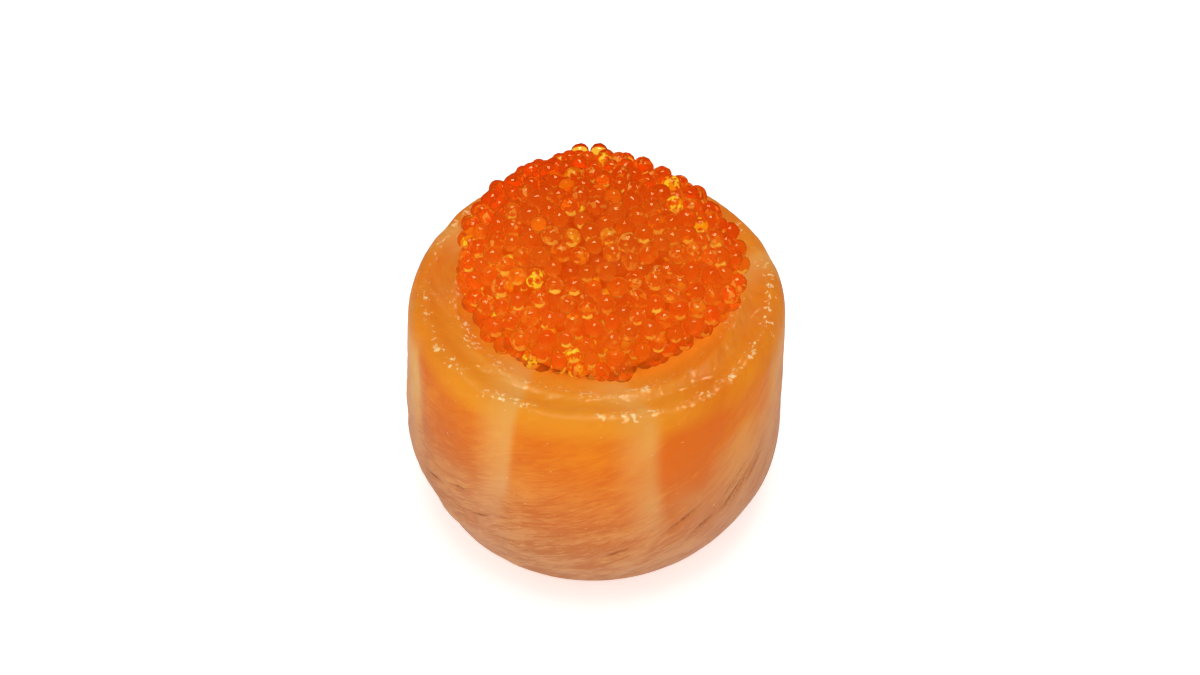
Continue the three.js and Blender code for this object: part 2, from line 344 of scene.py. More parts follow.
@dataclass(frozen=True)
class RawSalmon:
    """Raw salmon, sliced and wound: fine orange muscle fibres along the strip, pale fat lines across it.

    The cut flesh lets light in a few millimetres, which softens its shade. It is deep orange at the top and
    duller at the foot, where its fibres show; the duller foot is partly the flesh's own tone and partly
    painted shade. A film of juice lies on the rim in patches, and its wrinkles break the lamp into sparkles.
    Painted light makes the rim's top paler and the nest by the roe brighter, painted shade darkens the
    creases, and pale flecks along the ridges are painted glints.
    """

    flesh: str = "ea8812"
    flesh_deep: str = "de6a0a"
    # painted light: the paler colour painted on the rim's top
    rim: str = "ee9a26"
    # the duller foot: partly the flesh's own tone, partly painted shade where less light reaches
    flesh_low: str = "cc9060"
    flesh_low_deep: str = "ba7446"
    fat: str = "e8ae5c"
    fat_low: str = "cc8f70"
    # painted light: the brighter orange painted on the nest by the roe
    nest: str = "f48e1c"
    # painted highlight: the colour of the painted glints on the film
    painted_glint: str = "ffe2a4"
    # painted shade: the dark colour painted in the creases
    crease: str = "8c3c12"
    sheen: str = "f8dcdc"
    # noises: size across the fibres in millimetres, and how much slower they change along them
    fibre_noise: tuple = (0.34, 0.22)
    bundle_noise: tuple = (1.5, 0.3)
    cloud_noise: tuple = (7.0, 0.7)
    film_noise: tuple = (3.2, 0.6)
    painted_glint_noise: tuple = (0.34, 0.5)
    wrinkle_pitch_mm: float = 0.7
    wander_mm: float = 2.2
    fibre_relief_mm: float = 0.26
    wrinkle_relief_mm: float = 0.28
    # how much the fibres show at the top, and how much more at the foot
    shown_at_top: float = 0.25
    shown_at_foot: float = 0.75
    fibre_contrast: float = 2.0
    deep_contrast: float = 0.35
    # the film's share of the wet coat, and how much more on the rim
    wet_side: float = 0.07
    wet_rim: float = 0.36

    @staticmethod
    def noise(place: Signal, pitch: float, along: float) -> Signal:
        """Adds noise stretched along the fibres.

        Args:
            place: Place on the strip in millimetres, with the third number across the fibres.
            pitch: Size across the fibres in millimetres.
            along: How much slower it changes along the fibres.

        Returns:
            The noise.
        """
        place = output(place.tree, "Mapping", {"Vector": place, "Scale": (along, along, 1.0)})
        links = {"Vector": place, "Scale": 1 / pitch, "Detail": 3.0, "Roughness": 0.55, "Distortion": 0.4}
        return output(place.tree, "TexNoise", links)

    def colour(self, fibre: Signal, bundle: Signal, cloud: Signal, shown: Signal) -> Signal:
        """Adds the colours of flesh, fat and fibres, with the painted light of the rim and the nest, and the
        painted shade that partly dulls the foot and darkens the creases.

        Args:
            fibre: Noise as fine as a muscle fibre.
            bundle: Noise as wide as a bundle of fibres.
            cloud: Broad noise.
            shown: How much the fibres show.

        Returns:
            The colour.
        """
        names = ("fat", "low", "deep", "pale", "nest", "crease_off", "crease_taper")
        marks = (read_attribute(fibre.tree, name) for name in names)
        fat, low, deep, pale, nest, crease_off, crease_taper = marks
        strands = (fibre + bundle - 1.0) * shown
        shade = (strands * self.fibre_contrast + cloud - deep * self.deep_contrast).stepped(0.2, 0.7)
        # painted light: the rim's top is painted paler, most at the front a little to the left, where the
        # lamps fall
        upper = mixed(pale * 0.8, mixed(shade, self.flesh_deep, self.flesh), self.rim)
        # the foot is duller: partly the flesh's own tone, partly painted shade where less light reaches
        lower = mixed(shade, self.flesh_low_deep, self.flesh_low)
        fat_share = fat.calculated("MULTIPLY", cloud + 0.4, clamped=True)
        colour = mixed(fat_share, mixed(low, upper, lower), mixed(low, self.fat, self.fat_low))
        # thin pale threads between the bundles of fibres
        colour = mixed(fibre.stepped(0.6, 0.78) * (shown * 0.4), colour, self.fat)
        # painted light: the nest by the roe's edge is painted a brighter orange, lifting the shade under the
        # roe
        colour = mixed(nest, colour, self.nest)
        # painted shade: a crease is painted as a thin dark line that frays
        line = (crease_off + (bundle - 0.5) * 1.6).calculated("ABSOLUTE")
        return mixed(line.stepped(0.34, 0.06) * crease_taper * 0.7, colour, self.crease)

    def material(self) -> Material:
        """Makes the salmon's material from the wrap's own attributes.

        Returns:
            The material.
        """
        material = new_material("raw_salmon")
        tree = material.node_tree
        grain, ring = (read_attribute(tree, name, "Vector") for name in ("grain", "ring"))
        low, rim, ridge = (read_attribute(tree, name) for name in ("low", "rim", "ridge"))
        # the fibres wander: noise bends the pattern they are read from
        wander = output(tree, "TexNoise", {"Vector": grain, "Scale": 0.15, "Detail": 2.0}, "Color")
        links = {0: wander, 1: (0.0, 0.0, self.wander_mm), 2: grain}
        bend = output(tree, "VectorMath", links, operation="MULTIPLY_ADD")
        fibre = self.noise(bend, *self.fibre_noise)
        bundle = self.noise(bend, *self.bundle_noise)
        cloud = self.noise(grain, *self.cloud_noise)
        stretched = output(tree, "Mapping", {"Vector": ring, "Scale": (0.5, 0.5, 1.0)})
        links = {"Vector": stretched, "Scale": 1 / self.wrinkle_pitch_mm, "Detail": 0.6, "Distortion": 0.8}
        wrinkle = output(tree, "TexNoise", links)
        shown = low * self.shown_at_foot + self.shown_at_top
        colour = self.colour(fibre, bundle, cloud, shown)
        # painted glints: pale flecks painted into the colour in clusters along the ridges, where the film's
        # wrinkles would catch the lamp
        patches = self.noise(ring, *self.film_noise).stepped(0.42, 0.56)
        glint_pattern = self.noise(ring, *self.painted_glint_noise) + ridge * 0.16
        colour = mixed(glint_pattern.stepped(0.7, 0.76) * patches * 0.85, colour, self.painted_glint)
        inputs = {
            "Base Color": colour,
            "IOR": 1.38,
            "Specular IOR Level": 0.12,
            "Roughness": 0.45,
            "Subsurface Weight": 0.35,
            "Subsurface Radius": (1.0, 0.42, 0.16),
            "Subsurface Scale": 1.4 * MM,
            "Sheen Weight": 0.28,
            "Sheen Roughness": 0.3,
            "Sheen Tint": self.sheen,
            "Normal": raised((fibre + bundle) * (shown * (1.0 - rim)), self.fibre_relief_mm, 0.8),
            "Coat Weight": patches * (rim * self.wet_rim + self.wet_side),
            "Coat IOR": 1.4,
            "Coat Roughness": 0.04,
            "Coat Normal": raised(wrinkle, self.wrinkle_relief_mm, 1.0),
        }
        return shaded(material, inputs)


@dataclass(frozen=True)
class TroutEgg:
    """Cured trout roe: a soft hazy orange ball in a thin tough wet skin.

    Each egg is a lens that would gather the light from above into a golden crescent low on its front; the
    crescent is painted into the colour, a painted highlight, bright in a few eggs and faint in most. The wet
    skin mirrors the lamp as one small round glint. Specks of paler oil float in some eggs, and a few hold a
    golden pool of it. The eggs at the heap's back are painted redder and darker, a painted shade.
    """

    clear: str = "ffaa30"
    cloudy: str = "ff9620"
    # painted highlight: the colour of the painted crescent of light
    painted_crescent: str = "ffbe3c"
    oil: str = "ffa83c"
    golden: str = "ffc628"
    # painted shade: the redder, darker colour painted on the eggs at the heap's back
    behind: str = "f8861a"
    back_shade_from_mm: float = 0.0
    back_shade_to_mm: float = 8.0
    haze: float = 0.13
    # ways out of the egg's middle: to where the painted crescent of light falls, and to what cuts the
    # crescent off
    light_falls: tuple = (0.05, -0.985, -0.06)
    light_ends: tuple = (0.0, -0.78, 0.62)

    def crescent(self, ball: Signal, fray: Signal) -> Signal:
        """Adds the painted crescent of light that the egg's lens would gather, a painted highlight.

        Args:
            ball: The way out of the egg's middle.
            fray: Noise that frays the crescent's edge.

        Returns:
            1 in the crescent and 0 outside it.
        """
        toward, away = (
            output(ball.tree, "VectorMath", {0: ball, 1: way}, "Value", operation="DOT_PRODUCT")
            for way in (self.light_falls, self.light_ends)
        )
        frayed = (fray - 0.5) * 0.25
        return (toward + frayed).stepped(0.76, 0.84) * (away + frayed).stepped(0.84, 0.76)

    def material(self) -> Material:
        """Makes the eggs' material from the heap's own attributes.

        Returns:
            The material.
        """
        material = new_material("cured_trout_egg")
        tree = material.node_tree
        ball, own = (read_attribute(tree, name, "Vector") for name in ("ball", "own"))
        tint, glow, oily = own.parts()
        # every egg reads another part of the pattern
        links = {0: own, 1: (40.0, 40.0, 40.0), 2: ball}
        place = output(tree, "VectorMath", links, operation="MULTIPLY_ADD")
        swirl = output(tree, "TexNoise", {"Vector": place, "Scale": 1.4, "Detail": 2.0})
        colour = mixed((tint * 0.7 + swirl).stepped(0.35, 1.35), self.cloudy, self.clear)
        # painted shade: the eggs are painted redder and darker towards the heap's back
        back = output(tree, "TexCoord", out="Object").parts()[1]
        back = back.stepped(self.back_shade_from_mm * MM, self.back_shade_to_mm * MM)
        colour = mixed(back * 0.8, colour, self.behind)
        speck = swirl.stepped(0.57, 0.63) * oily.stepped(0.5, 0.8)
        colour = mixed(speck, colour, self.oil)
        pool = swirl.stepped(0.5, 0.58) * oily.stepped(0.965, 0.97)
        colour = mixed(pool, colour, self.golden)
        # painted highlight: the crescent is painted into the base colour, stronger in eggs whose glow is high
        strength = glow.stepped(0.6, 1.0) + 0.08
        lit = self.crescent(ball, swirl).calculated("MULTIPLY", strength, clamped=True)
        marks = (speck * 0.5).calculated("MAXIMUM", lit).calculated("MAXIMUM", pool)
        inputs = {
            "Base Color": mixed(lit, colour, self.painted_crescent),
            "Roughness": 0.05,
            "IOR": 1.22,
            "Transmission Weight": 1.0 - self.haze - marks * 0.85,
        }
        return shaded(material, inputs)


@dataclass(frozen=True)
class ClearEgg:
    """A few eggs are nearly clear: yellow-orange balls that show what lies behind them."""

    clear: str = "f5b038"
    oil: str = "f0a028"

    def material(self) -> Material:
        """Makes the clear eggs' material.

        Returns:
            The material.
        """
        material = new_material("clear_trout_egg")
        tint = read_attribute(material.node_tree, "own", "Vector").parts()[0]
        colour = mixed(tint, self.clear, self.oil)
        return shaded(
            material, {"Base Color": colour, "Roughness": 0.06, "IOR": 1.35, "Transmission Weight": 1.0}
        )


@dataclass(frozen=True)
class RoeMass:
    """The roe deep in the heap, where eggs run together into one glowing orange mass.

    Spots of yellow oil lie in it, and shine through the eggs above them. Its cells are painted darker towards
    their edges, a painted shade between the packed eggs; its foot is painted brighter and yellower, painted
    light of the light that passes through the eggs; and its top is painted darker, a painted shade.
    """

    # painted shade: deep is the darker colour painted at the cells' edges, between the eggs
    light: str = "ea5c04"
    deep: str = "e05002"
    # painted light: the brighter, yellower colour painted low in the mass
    foot: str = "ff9616"
    oil: str = "ffb428"
    # painted shade: the darker colour painted at the top of the mass
    top: str = "cc3a02"
    foot_from_mm: float = 32.0
    foot_to_mm: float = 37.5
    top_from_mm: float = 38.5
    top_to_mm: float = 44.0
    egg_mm: float = 2.2
    spot_mm: float = 1.7
    # spots above this draw hold oil
    spots_from: float = 0.86

    def material(self) -> Material:
        """Makes the mass's material.

        Returns:
            The material.
        """
        material = new_material("packed_roe")
        tree = material.node_tree
        place = output(tree, "TexCoord", out="Object")
        cells = output(tree, "TexVoronoi", {"Vector": place, "Scale": 1 / (self.egg_mm * MM)})
        height = place.parts()[2]
        # painted light at the foot, painted shade at the top and between the cells
        foot = height.stepped(self.foot_to_mm * MM, self.foot_from_mm * MM)
        top = height.stepped(self.top_from_mm * MM, self.top_to_mm * MM)
        colour = mixed(foot, mixed(cells.stepped(0.1, 0.75), self.light, self.deep), self.foot)
        colour = mixed(top, colour, self.top)
        spots = add_node(tree, "TexVoronoi", {"Vector": place, "Scale": 1 / (self.spot_mm * MM)})
        spot = Signal(spots.outputs["Distance"]).stepped(0.5, 0.3)
        chosen = Signal(spots.outputs["Color"]).parts()[0].calculated("GREATER_THAN", self.spots_from)
        inputs = {
            "Base Color": mixed(spot * chosen, colour, self.oil),
            "Roughness": 0.5,
            "Specular IOR Level": 0.0,
            "Subsurface Weight": 0.6,
            "Subsurface Radius": (1.0, 0.3, 0.08),
            "Subsurface Scale": 1.5 * MM,
            "Normal": raised(1.0 - cells, 0.8, 0.8),
        }
        return shaded(material, inputs)


# ---- The salmon wrap ----


@dataclass(frozen=True)
class FatLine:
    """A pale line of fat across the strip: its sharp edge's azimuth, its width and blur in millimetres.

    It fades to one side (-1 is lower azimuths). It reaches from one level to another, as shares of the wrap's
    height, and its edge slants by some degrees of azimuth from top to foot.
    """

    azimuth: float
    width: float = 6.5
    strength: float = 0.6
    fades: int = -1
    blur: float = 0.6
    down_to: float = 0.15
    up_to: float = 9.0
    slant: float = 0.0


@dataclass
class SalmonWrap:
    """The drum of wound salmon. Sizes in millimetres."""

    belly_radius: float = 24.0
    height: float = 33.6
    strip_thickness: float = 4.2
    foot_rounding: float = 2.3
    shoulder_rounding: float = 3.6
    groove_depth: float = 0.55
    inner_drop: float = 0.25
    nest_depth: float = 2.4
    nest_shift: float = 2.2
    roe_shift: tuple = (0.9, 2.2)
    roe_radius: float = 16.8
    lean: float = 0.012
    # level of the widest ring, and the radius at foot, top and outer ridge, as shares of height and belly
    belly_level: float = 0.36
    foot_share: float = 0.837
    top_share: float = 0.969
    ridge_share: float = 0.893
    fat_lines: tuple = (
        FatLine(-24, strength=0.7, slant=-12),
        FatLine(17.5, strength=0.62, blur=1.0, down_to=0.2, slant=7),
        FatLine(23, width=14, strength=0.35, fades=1, blur=2.0, down_to=-1, up_to=0.58, slant=6),
        FatLine(40, width=26, strength=0.3, fades=1, blur=1.5, down_to=-1, up_to=0.74, slant=-14),
        FatLine(64, width=18, fades=1, blur=1.5, down_to=-1, up_to=0.93, slant=-6),
        FatLine(108, blur=1.2, slant=6),
        FatLine(154, slant=4),
        FatLine(-160, slant=-4),
        FatLine(-122, fades=1, slant=-6),
        FatLine(-68, width=14, strength=0.95, blur=1.2, down_to=0.1, up_to=0.93, slant=10),
        FatLine(-32, width=22, strength=0.25, blur=2.0, down_to=-1, up_to=0.6, slant=4),
    )
    # deep orange between the fat lines: azimuth, half angle, strength
    deep_zones: tuple = (
        (-50, 22, 0.5),
        (-4, 22, 0.3),
        (31, 17, 1.0),
        (88, 22, 0.6),
        (132, 26, 0.8),
        (178, 26, 0.8),
        (-141, 24, 0.8),
        (-100, 20, 0.7),
    )
    furrow_depth: float = 0.22
    furrow_half_angle: float = 7.0
    facets_round: int = 120
    # radius at which patterns run round the drum
    mean_radius: float = 22.0
    # broad swellings: azimuth, half angle, level, half height, how far out
    swellings: tuple = (
        (80, 75, 0.1, 0.45, 0.45),
        (-110, 55, 1.0, 0.6, -0.25),
        (-80, 55, 0.35, 0.4, 0.35),
        (-60, 60, 0.1, 0.3, -0.25),
        (95, 50, 0.75, 0.4, -0.1),
        (15, 80, 0.0, 0.4, -0.35),
    )
    # creases in the lower side: azimuth, level at its middle, half angle, slope of level over azimuth, depth
    creases: tuple = (
        (48, 0.45, 12, 0.0084, 0.5),
        (47, 0.51, 9, 0.0095, 0.25),
        (56, 0.47, 7, 0.0080, 0.2),
        (27, 0.45, 8, 0.0078, 0.25),
        (33, 0.36, 6, 0.0070, 0.15),
        (-57, 0.40, 8, 0.0055, 0.3),
        (-45, 0.475, 5, 0.0050, 0.2),
        (-36, 0.40, 4, 0.0050, 0.15),
        (6, 0.33, 5, 0.0050, 0.12),
    )
    crease_half_width: float = 0.7
    # how the fibres rise to the right, in millimetres: sizes of sin a, sin 2a and cos 2a
    fibre_rise: tuple = (18.0, -4.2, -1.4)
    # wisps of fibre in relief: size across the fibres, how much slower along them, height
    wisps: tuple = ((3.4, 0.3, 0.16), (1.5, 0.22, 0.1))
    # fine wrinkles on the rim's top, given like the wisps
    wrinkles: tuple = (0.9, 0.4, 0.09)
    # waves round the rim: height, number of waves, phase
    rim_waves: tuple = ((0.35, 1, 0.5), (0.25, 3, 0.9), (0.18, 5, 0.0))
    # low lumps on the rim's top: height, number round, turn in radians a millimetre outwards, phase
    lumps: tuple = ((0.10, 7, 0.4, 0), (0.07, 13, -0.6, 1))

    @property
    def outer_ridge(self) -> float:
        """Radius of the rim's outer ridge."""
        return self.belly_radius * self.ridge_share

    @property
    def inner_ridge(self) -> float:
        """Radius of the rim's inner ridge."""
        return self.outer_ridge - self.strip_thickness + 0.3

    @property
    def nest_radius(self) -> float:
        """Radius of the hollow that holds the roe."""
        return self.inner_ridge - 5.0

    def side_radius(self, z: float) -> float:
        """Finds how wide the drum's side is, before its edges are rounded.

        Args:
            z: Height in millimetres.

        Returns:
            Radius in millimetres.
        """
        belly_height = self.height * self.belly_level
        below = z < belly_height
        end = self.belly_radius * (self.foot_share if below else self.top_share)
        reach = belly_height if below else self.height - belly_height
        return self.belly_radius - (self.belly_radius - end) * ((z - belly_height) / reach) ** 2

    def profile(self) -> list[tuple[float, float]]:
        """Draws the drum's section, from the middle of the underside up the side and down into the nest.

        Returns:
            Radius and height of each point.
        """
        points = [(r, 0.0) for r in (1.2, 4.0, 8.0, 12.0, 15.5, 17.2)]
        for turned in (0, 20, 40, 60, 78):
            a = math.radians(turned)
            z = self.foot_rounding * (1 - math.cos(a))
            points.append((self.side_radius(z) - self.foot_rounding * (1 - math.sin(a)), z))
        side_foot = self.foot_rounding + 0.4
        side_top = self.height - self.shoulder_rounding
        points += [(self.side_radius(z), z) for z in np.linspace(side_foot, side_top, 16)]
        across = self.side_radius(side_top) - self.outer_ridge
        for turned in (18, 36, 54, 72, 90):
            a = math.radians(turned)
            r = self.outer_ridge + across * math.cos(a)
            points.append((r, side_top + self.shoulder_rounding * math.sin(a)))
        # the rim: across the groove, over the inner ridge and down to the nest's floor
        groove = self.inner_ridge + self.strip_thickness * 0.35
        top = self.height
        points += [
            (self.outer_ridge - 0.9, top - self.groove_depth * 0.2),
            (groove + 0.9, top - self.groove_depth * 0.7),
            (groove, top - self.groove_depth),
            (groove - 0.8, top - self.groove_depth * 0.8),
            (self.inner_ridge, top - self.inner_drop),
            (self.inner_ridge - 0.5, top - self.inner_drop - 0.25),
            (self.inner_ridge - 1.1, top - self.nest_depth * 0.36),
            (self.inner_ridge - 2.6, top - self.nest_depth * 0.7),
            (self.nest_radius, top - self.nest_depth),
        ]
        points += [(r, top - self.nest_depth) for r in (10.0, 6.0, 2.0)]
        return points

    @staticmethod
    def slanted(line: FatLine, level: np.ndarray) -> np.ndarray:
        """Azimuth of a fat line's edge at each level."""
        return line.azimuth + line.slant * np.clip(0.9 - level, 0, 1)

    def outside_relief(self, azimuth: np.ndarray, level: np.ndarray) -> np.ndarray:
        """Shapes the outside: swellings, and furrows along the fat lines.

        Args:
            azimuth: Azimuth of each point.
            level: Height of each point, as a share of the wrap's.

        Returns:
            How far each point stands out in millimetres.
        """
        out = np.zeros_like(azimuth)
        for middle, half_angle, height, half_height, size in self.swellings:
            out += size * bump(turn(middle, azimuth), half_angle) * bump(level - height, half_height)
        for line in self.fat_lines:
            away = turn(0, azimuth - self.slanted(line, level))
            out -= self.furrow_depth * line.strength / line.blur * bump(away, self.furrow_half_angle)
        return out

    def crease_marks(
        self, azimuth: np.ndarray, level: np.ndarray
    ) -> tuple[np.ndarray, np.ndarray, np.ndarray]:
        """Finds the slits between muscle fibres low on the side.

        Args:
            azimuth: Azimuth of each point.
            level: Height of each point, as a share of the wrap's.

        Returns:
            How deep each point lies in a crease, in millimetres, its distance above the nearest crease, and
            how open that crease is there.
        """
        depth = np.zeros_like(azimuth)
        distance = np.full_like(azimuth, 5.0)
        opened = np.zeros_like(azimuth)
        for middle, at_level, half_angle, slope, deep in self.creases:
            along = turn(middle, azimuth)
            off = (level - at_level - slope * along) * self.height
            taper = bump(along, half_angle)
            depth += deep * taper * bump(off, self.crease_half_width)
            nearer = np.abs(off) < np.abs(distance)
            distance = np.where(nearer, off, distance)
            opened = np.where(nearer, taper, opened)
        return depth, distance, opened

    @staticmethod
    def strands(grain: np.ndarray, pitch: float, along: float) -> np.ndarray:
        """Gives noise from -1 to 1 of a pitch across the fibres, and stretched along them."""
        scaled = grain * np.array([along, along, 1.0]) / pitch
        return np.array([noise.noise(p) for p in scaled.tolist()])

    def shape_by_hand(self, mesh: Mesh) -> None:
        """Gives the turned drum its hand-made swellings, furrows, creases, fibres and lean.

        Args:
            mesh: The turned form's mesh. It is moved, and gets the attributes that its material reads.
        """
        co = read_places(mesh)
        x, y, z = co.T
        r = np.maximum(np.hypot(x, y), 1e-6)
        azimuth = np.degrees(np.arctan2(x, -y))
        a = np.radians(azimuth)
        level = z / self.height
        outward = smoothstep(r, self.inner_ridge, self.outer_ridge)
        off_board = smoothstep(z, -1, 5)
        in_nest = np.where(z > self.height / 2, 1 - smoothstep(r, self.nest_radius, self.inner_ridge), 0)
        # distance along the profile, for patterns that run over the rim
        over_rim = np.where(z > self.height - self.shoulder_rounding, self.outer_ridge - r, 0)
        path = np.where(over_rim > self.strip_thickness, self.height, z) + np.clip(over_rim, 0, None)
        ring = np.stack([self.mean_radius * np.sin(a), -self.mean_radius * np.cos(a), path], axis=1)
        first, second, third = self.fibre_rise
        rise = first * np.sin(a) + second * np.sin(2 * a) + third * np.cos(2 * a)
        grain = ring - np.outer(rise, (0, 0, 1))
        crease_depth, crease_off, crease_taper = self.crease_marks(azimuth, level)
        out = (self.outside_relief(azimuth, level) - crease_depth) * outward * off_board
        # the fibres stand out most on the lower side
        side = smoothstep(r, self.inner_ridge - 1, self.outer_ridge + 1)
        lower = 1 - smoothstep(level, 0.35, 0.85)
        relief = sum(size * self.strands(grain, pitch, along) for pitch, along, size in self.wisps)
        out += relief * side * off_board * (0.35 + 0.65 * lower)
        scale = (r + out) / r
        on_rim = smoothstep(z, self.height * 0.5, self.height) * outward
        waves = sum(size * np.cos(count * a + phase) for size, count, phase in self.rim_waves)
        lumps = sum(
            size * np.sin(count * a + twist * r + phase) for size, count, twist, phase in self.lumps
        )
        pitch, along, size = self.wrinkles
        lumps += size * self.strands(grain, pitch, along)
        on_top = smoothstep(z, self.height - 3, self.height - 0.5)
        on_top *= smoothstep(r, self.nest_radius, self.inner_ridge)
        moved = np.empty_like(co)
        moved[:, 0] = x * scale + self.lean * (z - self.height / 2)
        moved[:, 1] = y * scale + self.nest_shift * in_nest
        moved[:, 2] = z + waves * on_rim + lumps * on_top
        write_places(mesh, moved)
        from_roe = np.hypot(moved[:, 0] - self.roe_shift[0], moved[:, 1] - self.roe_shift[1])
        marks = self.surface_marks(azimuth, level, r, path, from_roe - self.roe_radius)
        marks |= {"grain": grain, "ring": ring, "crease_off": crease_off, "crease_taper": crease_taper}
        for name, values in marks.items():
            write_attribute(mesh, name, values)

    def surface_marks(
        self, azimuth: np.ndarray, level: np.ndarray, r: np.ndarray, path: np.ndarray, from_roe: np.ndarray
    ) -> dict[str, np.ndarray]:
        """Finds where the fat lines, the deep orange beside them, the dull foot, the rim and the nest lie.

        Args:
            azimuth: Azimuth of each vertex.
            level: Height of each vertex, as a share of the wrap's.
            r: Radius of each vertex in millimetres.
            path: Distance up the side and over the rim in millimetres.
            from_roe: How far each vertex lies outside the roe's edge in millimetres, seen from above.

        Returns:
            Each mark's strength from 0 to 1, by its attribute's name.
        """
        a = np.radians(azimuth)
        reach = np.radians(1) * np.maximum(r, 12)
        # a fat line's edge wobbles, and bends aside on its way over the rim
        wobble = 0.3 * np.sin(path * 0.3 + 3 * a)
        inward = np.clip(self.outer_ridge - r, 0, 6) * smoothstep(level, 0.8, 0.95)
        fat = np.zeros_like(azimuth)
        for line in self.fat_lines:
            away = turn(0, azimuth - self.slanted(line, level)) * reach + wobble + 0.3 * inward
            off = away * -line.fades
            blur = line.blur + 1.2 * (1 - smoothstep(level, 0.25, 0.7))
            band = smoothstep(off, -line.width, -0.5) * (1 - smoothstep(off, -blur, blur))
            band *= smoothstep(level, line.down_to, line.down_to + 0.4)
            band *= 1 - smoothstep(level + 0.02 * np.sin(13 * a), line.up_to - 0.05, line.up_to + 0.07)
            fat = np.maximum(fat, band * line.strength)
        deep = np.zeros_like(azimuth)
        for middle, half_angle, strength in self.deep_zones:
            away = np.abs(turn(middle, azimuth))
            deep = np.maximum(deep, strength * (1 - smoothstep(away, half_angle * 0.45, half_angle)))
        # duller towards the foot: partly the flesh's own tone, partly painted shade
        low = 1 - smoothstep(level + 0.05 * np.sin(3 * a + 1), 0.15, 0.92)
        rim = smoothstep(path, self.height - 3.5, self.height - 0.5)
        deep *= smoothstep(level, 0.15, 0.6) * (1 - 0.6 * rim)
        # painted light: the rim is painted palest at the front, a little to the left, where the lamps fall on
        # it
        pale = rim * (0.3 + 0.7 * smoothstep(np.cos(a + 0.25), 0.5, 0.95))
        # painted light: where the salmon is painted brighter next to the roe
        nest = smoothstep(level, 0.8, 0.85) * (1 - smoothstep(from_roe, -1.2, 0.5))
        # radius and half width of the two crests that the painted glints gather on
        crests = ((self.inner_ridge - 0.4, 1.6), (self.outer_ridge - 0.1, 1.5))
        ridge = np.max([bump(r - middle, half_width) for middle, half_width in crests], axis=0)
        ridge *= smoothstep(level, 0.8, 0.9)
        return {"fat": fat, "low": low, "deep": deep, "rim": rim, "ridge": ridge, "pale": pale, "nest": nest}

    def build(self) -> Object:
        """Models the wrap, dresses it and puts it in the place of its solid.

        Returns:
            The drum.
        """
        rings = [(r, z, 0.0) for r, z in self.profile()]
        drum = raised_rings("salmon_drum", rings, 0.0, self.facets_round)
        rounded(drum, 2)
        self.shape_by_hand(drum.data)
        dressed(drum.data, RawSalmon().material())
        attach(drum, BODY)
        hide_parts("salmon_wrap")
        LOG.info("salmon_drum: %d faces", len(drum.data.polygons))
        return drum


# ---- The roe ----


@dataclass
class Egg:
    """One egg of the heap: its middle and radius in millimetres."""

    middle: Vector
    radius: float
    clear: bool = False


